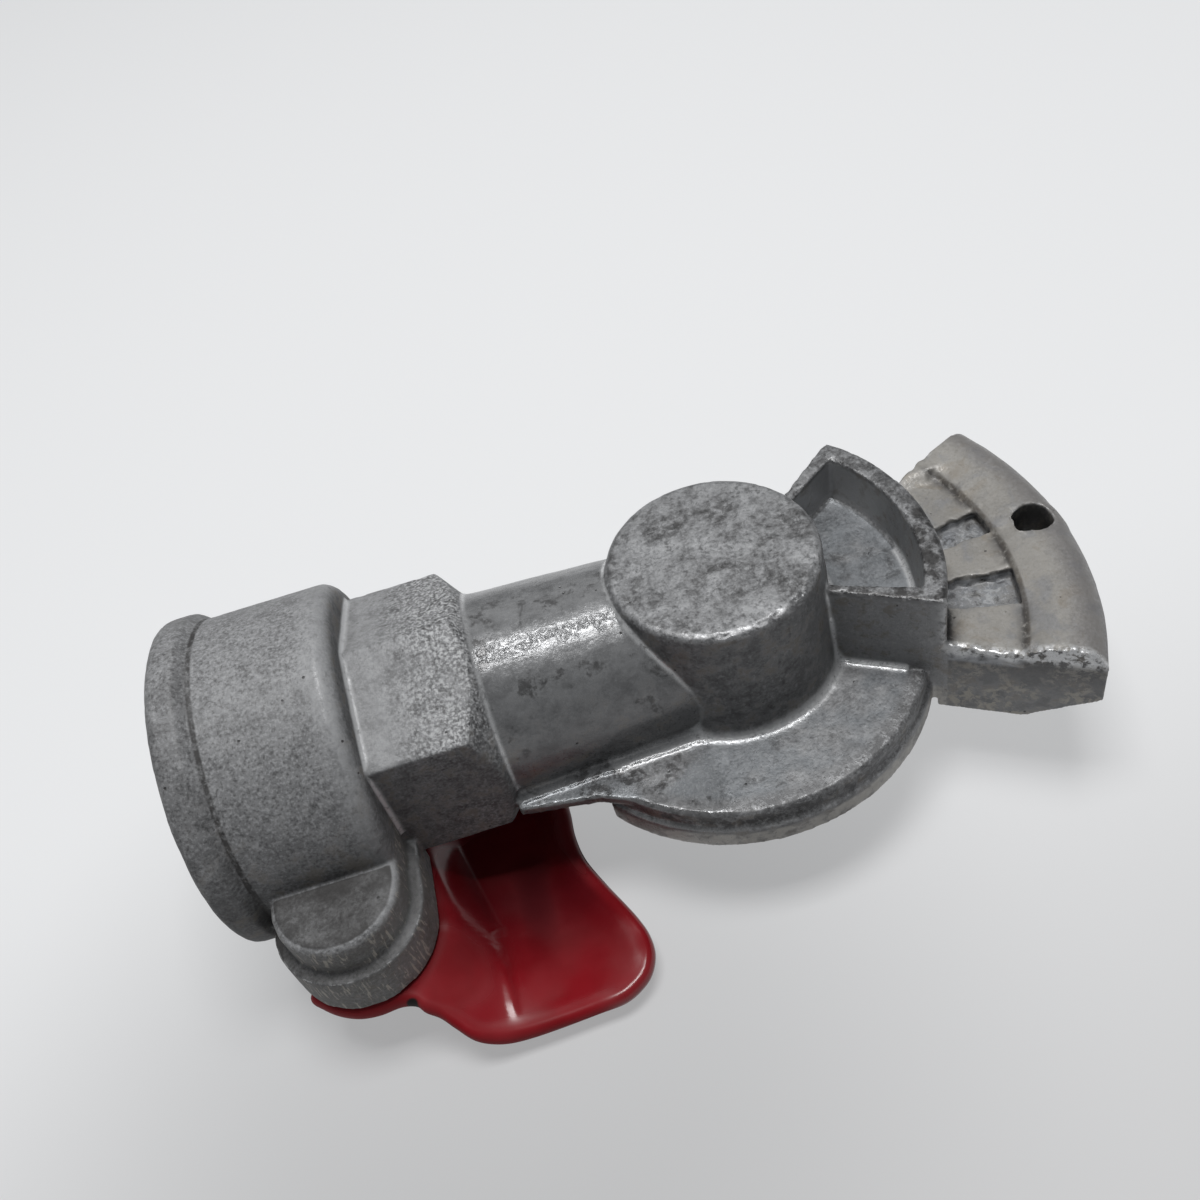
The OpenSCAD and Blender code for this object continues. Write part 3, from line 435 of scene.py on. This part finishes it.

# Upright ear scrapes, small pits, bare metal on worn edges, the torn edge and ear front; painted highlights on
# fillets.
streak_place = add(tree, "Mapping", Vector=place, Scale=(1.7, 1.7, 0.25)).outputs[0]
streak = fade(tree, cloud(tree, streak_place, 1.0, 4.0, 0.6), 0.53, 0.63)
pit_spot = add(tree, "TexVoronoi", Vector=place, Scale=0.3, Randomness=1.0).outputs["Distance"]
pit = product(tree, fade(tree, pit_spot, 0.1, 0.05), fade(tree, mottle, 0.5, 0.56))
bare_and_highlight = most(tree, product(tree, edge, fade(tree, fleck, 0.48, 0.56), 0.9),
            product(tree, rag, fade(tree, fleck, 0.42, 0.52), 0.95),
            product(tree, fade(tree, fillet_line, 0.1, 0.45), fade(tree, fleck, 0.7, 0.52),
                    fade(tree, in_well, 0, 0.6, 0.95, 0.05)),
            product(tree, ear_front, fade(tree, fleck, 0.36, 0.48)))

# The ground colour, cool and patched on the head and warm on the fan, then each tone laid over it in turn.
toned = calc(tree, "MULTIPLY_ADD", on_tube, product(tree, calc(tree, "SUBTRACT", 0.5, mottle), 0.6), mottle)
patch = fade(tree, toned, 0.38, 0.62)
patch = fade(tree, on_socket, 0, 1, patch, calc(tree, "MULTIPLY_ADD", patch, 0.62, 0.19))
grey = tint(tree, patch, times(0.72, cast_grey), times(1.3, cast_grey))
warm = tint(tree, fade(tree, blotch, 0.35, 0.7), cast_warm, times(0.82, cast_warm))
warm = tint(tree, product(tree, fade(tree, stain, 0.48, 0.64), 0.7), warm, fan_cool)
warm = tint(tree, product(tree, fade(tree, stain, 0.44, 0.32), 0.6), warm, fan_brown)
warm = tint(tree, product(tree, fade(tree, reach, 60.5, 65.5), 0.6), warm, bead_dull)
colour = tint(tree, product(tree, on_fan, upward), grey, warm)
wall_dark_line = calc(tree, "MULTIPLY_ADD", mottle, 18.0, z)
for tone, *shares in (
        # the fan's slots and fold, and the smooth floors
        (slot_floor, in_slot, fade(tree, mottle, 0.35, 0.6, 1.0, 0.5)),
        (slot_bright, in_slot, fade(tree, fleck, 0.52, 0.6), 0.7),
        (cast_dark, in_slot, fade(tree, fleck, 0.46, 0.38), 0.6),
        # painted light on the slots' side walls
        (slot_wall_light, in_slot, sideways, fade(tree, fleck, 0.36, 0.5, 0.45, 0.9)),
        (cast_blue, smooth_skin, fade(tree, blotch, 0.62, 0.45), 0.85),
        # painted shade along the fold
        (fold_shade, fold, fade(tree, fleck, 0.3, 0.55), 0.6),
        # flecks and specks of the rough skin
        # painted light on the flecks of level tops
        (times(1.6, cast_grey), lit_tops, 0.55),
        (times(1.9, cast_grey), fade(tree, fleck, 0.55, 0.66), rough_skin, 0.5),
        (cast_dark, fade(tree, fleck, 0.43, 0.34), rough_skin, 0.5),
        (cast_dark, fade(tree, mottle, 0.57, 0.63), fade(tree, speck, 0.35, 0.6), rough_skin, 0.4),
        (times(2.1, cast_grey), rough_skin, fade(tree, speck, 0.53, 0.63), 0.3),
        (cast_dark, rough_skin, fade(tree, speck, 0.45, 0.35), 0.35),
        # socket and rim, boss, flats, arm and shoulder
        (times(2.1, cast_grey), on_socket, fade(tree, speck, 0.53, 0.63), 0.3),
        (cast_dark, on_socket, fade(tree, speck, 0.46, 0.37), 0.35),
        (cast_dark, fade(tree, x, -94.6, -95.2), fade(tree, stain, 0.4, 0.6, 0.05, 0.3)),
        (cast_dark, boss_top, fade(tree, stain, 0.47, 0.6), fade(tree, fleck, 0.66, 0.4), 0.6),
        (times(2.0, cast_grey), boss_top, fade(tree, stain, 0.5, 0.38), fade(tree, fleck, 0.4, 0.6), 0.6),
        (times(1.9, cast_grey), on_flats, upward, fade(tree, x, -60, -66), 0.3),
        (cast_bright, etched, fade(tree, speck, 0.5, 0.6), 0.65),
        (cast_dark, etched, fade(tree, speck, 0.46, 0.37), 0.55),
        (cast_dark, arm_rim, fade(tree, y, 3.2, 2.4, 0.4, 0.8)),
        # painted light on the shoulder
        (times(1.6, cast_grey), shoulder, fade(tree, x, -76, -73), fade(tree, fleck, 0.36, 0.6, 0.25, 0.5)),
        # grime and painted shade, then what lies over it
        (cast_dark, calc(tree, "MINIMUM", grime_and_shade, 0.93)),
        # painted light on the well's side walls
        (times(2.3, cast_grey), in_well, sideways, 0.85),
        (times(1.7, cast_grey), on_hook, sideways, off_the_fan, fade(tree, mottle, 0.42, 0.58, 0.5, 0.08)),
        (cast_dark, smudge, 0.6),
        (cast_dark, in_pocket, fade(tree, stain, 0.52, 0.66), fade(tree, fleck, 0.65, 0.45), 0.6),
        (pocket_pale, in_pocket, fade(tree, stain, 0.47, 0.36), 0.45),
        (cast_dark, on_flange, fade(tree, stain, 0.53, 0.64), fade(tree, fleck, 0.62, 0.48), 0.45),
        (wall_dusty, low_wall, fade(tree, mottle, 0.62, 0.45), 0.85),
        # the fan's wall is darker towards its top
        (fan_wall_dark, fan_wall, fade(tree, wall_dark_line, 14.0, 24.0), 0.65),
        (cast_tan, sideways, fade(tree, mottle, 0.5, 0.64), 0.5),
        (fan_scuff, fan_wall, fade(tree, fleck, 0.46, 0.56), fade(tree, stain, 0.4, 0.54),
         fade(tree, z, 12.0, 4.0, 0.45, 0.9)),
        (ear_drab, on_ear, fade(tree, mottle, 0.6, 0.45), 0.35),
        (ear_scrape, on_ear, streak, fade(tree, stain, 0.45, 0.54), 0.85),
        (cast_dark, pit, 0.85),
        # painted shade in the crevices
        (crevice_shade, crevice, fade(tree, fleck, 0.3, 0.5), fade(tree, in_slot, 0, 1, 0.92, 0.3)),
        # bare metal on worn edges, with painted highlights on the fillets
        (cast_bright, bare_and_highlight)):
    colour = tint(tree, product(tree, *shares), colour, tone)
tree.links.new(colour, skin.inputs["Base Color"])

# Bare and clean metal, and the fillets' painted highlights, shine; grime, painted shade and the rough ends are dull,
# and the flecks stand in low relief.
sheen = calc(tree, "SUBTRACT", calc(tree, "ADD", without(tree, grime_and_shade), bare_and_highlight),
             most(tree, on_fan, on_socket, product(tree, on_flats, 0.7)))
tree.links.new(fade(tree, sheen, 0.0, 1.0, 0.1, 0.42), skin.inputs["Metallic"])
gloss = calc(tree, "SUBTRACT", calc(tree, "ADD", speck, product(tree, grime_and_shade, 0.4)), product(tree, on_tube, 0.3))
gloss = calc(tree, "ADD", gloss, product(tree, on_flats, 0.3))
gloss = calc(tree, "SUBTRACT", calc(tree, "ADD", gloss, product(tree, on_socket, 0.2)), product(tree, bare_and_highlight, 0.2))
tree.links.new(fade(tree, gloss, 0.2, 0.9, 0.27, 0.68), skin.inputs["Roughness"])
grain = fade(tree, most(tree, etched, product(tree, scraped, 0.9)), 0, 1, 0.22, 1.4)
relief = calc(tree, "ADD", product(tree, mottle, fade(tree, on_tube, 0, 1, 0.9, 0.45)),
              product(tree, fleck, rough_skin, 0.7))
relief = calc(tree, "ADD", relief, product(tree, speck, grain))
relief = calc(tree, "SUBTRACT", relief, product(tree, pit, 0.9))
bumped = add(tree, "Bump", Strength=0.7, Distance=0.00018, Height=relief)
tree.links.new(bumped.outputs[0], skin.inputs["Normal"])
head_mesh.materials.append(cast)
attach(head, "head")
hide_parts("body")

# The face seal and the socket's round ring: moulded black rubber, pressed into their grooves by hand.
# Both have a fine matt moulding skin with a little dust on it.
rubber_black, rubber_dust = (0.022, 0.022, 0.024), (0.075, 0.072, 0.068)
rubber, tree, skin = new_finish("moulded_rubber")
place = millimetres(tree)
dust = fade(tree, cloud(tree, place, 5, 5, 0.65), 0.45, 0.75)
tree.links.new(tint(tree, calc(tree, "MULTIPLY", dust, 0.5), rubber_black, rubber_dust), skin.inputs["Base Color"])
tree.links.new(fade(tree, dust, 0, 1, 0.5, 0.75), skin.inputs["Roughness"])
grain = add(tree, "Bump", Strength=0.4, Distance=0.0001, Height=cloud(tree, place, 0.5, 3))
tree.links.new(grain.outputs[0], skin.inputs["Normal"])
for name in ("face_seal", "socket_ring"):
    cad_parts[name].material_slots[0].material = rubber

# The spring parts: the detent plate on the hook's lip, the pin's retaining ring and the lever's coil.
# They are blued spring steel, rolled or wound, with rubbed streaks and freckles of rust.
steel_blue, steel_rubbed, rust_brown = (0.23, 0.235, 0.25), (0.42, 0.42, 0.43), (0.16, 0.075, 0.035)
blued, tree, skin = new_finish("spring_steel")
place = millimetres(tree)
rub = cloud(tree, place, 2.5, 5, 0.6, 0.4)
rust = calc(tree, "MULTIPLY", fade(tree, cloud(tree, place, 4, 6, 0.7), 0.56, 0.7), 0.7)
steel = tint(tree, fade(tree, rub, 0.3, 0.7), steel_blue, steel_rubbed)
tree.links.new(tint(tree, rust, steel, rust_brown), skin.inputs["Base Color"])
tree.links.new(fade(tree, rust, 0, 0.6, 0.9, 0.15), skin.inputs["Metallic"])
tree.links.new(fade(tree, rub, 0.3, 0.7, 0.28, 0.45), skin.inputs["Roughness"])
fine = add(tree, "Bump", Strength=0.25, Distance=0.00006, Height=cloud(tree, place, 0.4, 3))
tree.links.new(fine.outputs[0], skin.inputs["Normal"])
for name in ("detent_plate", "pin_clip", "lever_spring"):
    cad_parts[name].material_slots[0].material = blued

# The turned and headed parts: the lock pin, the lever's washer and screw, and the plate's two rivets.
# They are zinc-plated steel, dulled to a soft grey with scuffs from the spanner.
zinc_dull, zinc_clean, scuff_dark = (0.40, 0.40, 0.39), (0.55, 0.55, 0.54), (0.10, 0.095, 0.09)
plated, tree, skin = new_finish("plated_steel")
place = millimetres(tree)
scuff = cloud(tree, place, 1.4, 5, 0.65, 0.6)
dull = cloud(tree, place, 5, 4)
zinc = tint(tree, fade(tree, dull, 0.35, 0.65), zinc_dull, zinc_clean)
tree.links.new(tint(tree, calc(tree, "MULTIPLY", fade(tree, scuff, 0.56, 0.68), 0.6), zinc, scuff_dark),
               skin.inputs["Base Color"])
tree.links.new(fade(tree, dull, 0.3, 0.7, 0.3, 0.5), skin.inputs["Roughness"])
skin.inputs["Metallic"].default_value = 0.9
fine = add(tree, "Bump", Strength=0.25, Distance=0.00006, Height=scuff)
tree.links.new(fine.outputs[0], skin.inputs["Normal"])
for name in ("lock_pin", "lever_washer", "lever_screw", "detent_rivets"):
    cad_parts[name].material_slots[0].material = plated

# The lever: a plate blank with an eye under the ear, cranked down to a broad thumb paddle, dished in its middle.
# It was dipped in thick red plastic, so every edge is a full round and the bends are soft.
lever_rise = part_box("lock_lever")[1][2] - 0.0001
plate_half, lever_fall, bend_softness = 0.0020, 0.0090, 0.08
border_height, dish_depth, crease_height, edge_round = 0.0008, 0.0030, 0.00045, 0.0016
paddle_middle = np.array([0.029, -0.002])
lever_rings, lever_around = 46, 420
lever_outline = 0.001 * np.array([
    (-12.3, -7.9), (-10.4, -10.2), (-7.4, -12.5), (-3.8, -14.1), (0, -14.6), (3.9, -14.3), (6.8, -15.0), (8.2, -16.4),
    (10.4, -17.6), (12.5, -19.6), (15.3, -22.0), (19.0, -23.0), (24.2, -23.1), (30.0, -22.9), (37.7, -22.4),
    (43.1, -22.0), (46.8, -20.3), (49.2, -18.0), (50.6, -14.6), (50.5, -10.8), (49.4, -7.2), (47.5, -2.9), (44.8, 2.7),
    (42.2, 9.1), (41.3, 15.0), (41.5, 20.5), (41.0, 25.6), (38.2, 28.6), (34.0, 28.6), (27.0, 25.9), (19.0, 22.9),
    (13.4, 18.6), (11.6, 13.8), (10.9, 9.6), (8.4, 7.0), (4.5, 6.5), (0, 6.5), (-3.4, 5.5), (-5.8, 3.2), (-8.0, -0.4),
    (-10.3, -4.4)])
crank_y = 0.001 * np.array([-24.0, -20.0, -16.0, -11.0, -6.0, -2.0, 3.0, 9.0, 16.0, 29.0])
crank_from = 0.001 * np.array([3.0, 4.5, 7.0, 11.5, 15.0, 16.6, 16.3, 14.5, 13.5, 12.0])
crank_to = 0.001 * np.array([20.5, 23.0, 23.3, 23.2, 22.8, 22.8, 21.6, 20.0, 18.6, 16.5])


def closed_curve(stations, count):
    """A smooth closed line through the stations: a Catmull-Rom cubic between each two, sampled evenly in length."""
    steps = np.linspace(0, len(stations), 12 * len(stations), endpoint=False)
    start = steps.astype(int)
    t = (steps - start)[:, None]
    a, b, c, d = (stations[(start + k) % len(stations)] for k in (-1, 0, 1, 2))
    line = 0.5 * (2 * b + (c - a) * t + (2 * a - 5 * b + 4 * c - d) * t ** 2 + (3 * b - a - 3 * c + d) * t ** 3)
    length = np.r_[0, np.cumsum(np.linalg.norm(np.roll(line, -1, axis=0) - line, axis=1))]
    even = np.linspace(0, length[-1], count, endpoint=False)
    line = np.vstack([line, line[:1]])
    return np.stack([np.interp(even, length, line[:, k]) for k in (0, 1)], axis=1)


def edge_distance(points, outline):
    """Distance from each point to a closed outline: the least over its straight pieces."""
    ahead = np.roll(outline, -1, axis=0) - outline
    away = points[:, None, :] - outline[None, :, :]
    share = np.clip((away * ahead).sum(2) / (ahead ** 2).sum(1), 0, 1)
    return np.linalg.norm(away - share[..., None] * ahead, axis=2).min(axis=1)


def soft_ramp(t, softness):
    """A ramp from 0 to 1 with rounded corners: the difference of two soft hinges at 0 and 1."""
    hinge = lambda k: softness * np.logaddexp(0, k / softness)
    return hinge(t) - hinge(t - 1)


def lever_surface(rings, around):
    """Closed skin of the lever. Rays from the paddle's middle to the outline carry the rings; the height is the
    crank's ramp plus a rolled border less a dish, and the skin stands off it by a full-round edge profile."""
    outline = closed_curve(lever_outline, around)
    share = 1 - (1 - np.linspace(0, 1, rings + 1)[1:]) ** 2.4
    plan = paddle_middle + share[:, None, None] * (outline - paddle_middle)
    flat = np.vstack([paddle_middle[None, :], plan.reshape(-1, 2)])
    fx, fy = flat.T
    inward = edge_distance(flat, outline)
    nearby = fy + 0.001 * np.arange(-4, 5)[:, None]
    begin, end = (np.interp(nearby, crank_y, line).mean(axis=0) for line in (crank_from, crank_to))
    fall = soft_ramp((fx - begin) / (end - begin), bend_softness)
    border = border_height * np.exp(-((inward - 0.0045) / 0.0026) ** 2) * step(fx + 0.6 * fy, 0.034, 0.045)
    across, along = (fx - 0.0325 + 0.12 * fy) / 0.0115, (fy - 0.003) / 0.019
    dish = dish_depth * np.exp(-(across ** 2 + along ** 2) ** 1.3)
    paddle = np.clip((fall - 0.75) / 0.25, 0, 1) ** 2
    height = lever_rise - plate_half - lever_fall * fall + paddle * (border - dish)
    stand = plate_half * np.sqrt(1 - (1 - np.clip(inward / edge_round, 0, 1)) ** 2)
    crease = crease_height * np.exp(-((fx - 0.0226 + 0.06 * (fy + 0.0085)) / 0.0009) ** 2)
    crease *= step(fy, -0.0215, -0.0165) * (1 - step(fy, -0.0105, -0.0065))
    top = np.c_[flat + ear_axis, height + stand + crease]
    below = np.c_[flat + ear_axis, height - stand + 0.75 * paddle * dish]
    skin_rings = np.concatenate([top[1:].reshape(rings, around, 3), below[1:].reshape(rings, around, 3)[-2::-1]])
    points = np.vstack([skin_rings.reshape(-1, 3), top[:1], below[:1]])
    index = np.arange(len(skin_rings) * around).reshape(-1, around)
    turn = np.roll(index, -1, axis=1)
    quads = np.stack([index[:-1], index[1:], turn[1:], turn[:-1]], axis=-1).reshape(-1, 4)
    crown = np.stack([np.full(around, len(points) - 2), index[0], turn[0]], axis=-1)
    base = np.stack([np.full(around, len(points) - 1), turn[-1], index[-1]], axis=-1)
    ring_inward = inward[1:].reshape(rings, around)
    near_edge = np.concatenate([ring_inward, ring_inward[-2::-1]]).ravel()
    rubbed = 1 - step(np.r_[near_edge, inward[:1], inward[:1]], 0.0012, 0.0042)
    return points, quads.tolist() + crown.tolist() + base.tolist(), rubbed


lever_mesh = bpy.data.meshes.new("dipped_lever")
lever_points, lever_faces, lever_rubbed = lever_surface(lever_rings, lever_around)
lever_mesh.from_pydata(lever_points, [], lever_faces)
lever_mesh.attributes.new("rubbed_edge", "FLOAT", "POINT").data.foreach_set("value", lever_rubbed.astype(np.float32))
lever_mesh.shade_smooth()
lever = bpy.data.objects.new("dipped_lever", lever_mesh)
scene.collection.objects.link(lever)

# The coat: deep red with painted shade in the dish and under the flats, hazy with painted sheen at the heel, one chip
# by the eye.
coat_deep, coat_clear, coat_sheen = (0.205, 0.0062, 0.0100), (0.235, 0.0075, 0.0125), (0.5, 0.25, 0.25)
coat_shaded, chip_black = (0.036, 0.0030, 0.0046), (0.012, 0.010, 0.010)
dip, tree, skin = new_finish("red_dip_coat")
place = millimetres(tree)
x, y, _ = add(tree, "SeparateXYZ", Vector=place).outputs
wave = cloud(tree, place, 7, 3)
haze = fade(tree, cloud(tree, place, 11, 1.5, 0.5), 0.4, 0.7)
rubbed = add(tree, "Attribute", attribute_name="rubbed_edge").outputs["Fac"]
shaded = product(tree, fade(tree, y, -50, -28), fade(tree, x, -80, -60), fade(tree, rubbed, 0, 1, 0.86, 0.45),
               fade(tree, y, -27, -19, 1.0, 0.6))
tongue = fade(tree, from_axis(tree, x, calc(tree, "MULTIPLY", y, 0.6), (-51.0, -16.8)), 13.0, 1.0)
shaded = most(tree, product(tree, shaded, 0.92), product(tree, tongue, 0.9))
heel = fade(tree, from_axis(tree, x, y, (-69.0, -41.5)), 10.0, 4.5)
toe = fade(tree, x, -44, -37)
chip = from_axis(tree, x, calc(tree, "MULTIPLY", y, 1.6), (-75.4, -46.9 * 1.6))
red = tint(tree, fade(tree, wave, 0.35, 0.65), coat_deep, coat_clear)
# painted sheen in patches here, and at the heel below
red = tint(tree, product(tree, haze, 0.03), red, coat_sheen)
red = tint(tree, shaded, red, coat_shaded)
red = tint(tree, product(tree, heel, 0.03), red, coat_sheen)
red = tint(tree, fade(tree, chip, 1.5, 0.9), red, chip_black)
tree.links.new(red, skin.inputs["Base Color"])
rubbed_rim = product(tree, rubbed, without(tree, toe))
roughened = most(tree, product(tree, rubbed_rim, 0.34), product(tree, heel, 0.3))
tree.links.new(calc(tree, "ADD", fade(tree, haze, 0, 1, 0.15, 0.25), roughened), skin.inputs["Roughness"])
dimmed = most(tree, product(tree, rubbed_rim, 0.8), shaded, product(tree, heel, 1.2))
tree.links.new(fade(tree, dimmed, 0.2, 1.1, 0.5, 0.04), skin.inputs["Specular IOR Level"])
ripple = add(tree, "Bump", Strength=0.35, Distance=0.0003, Height=wave)
tree.links.new(ripple.outputs[0], skin.inputs["Normal"])
lever_mesh.materials.append(dip)
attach(lever, "lever")
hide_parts("lock_lever")
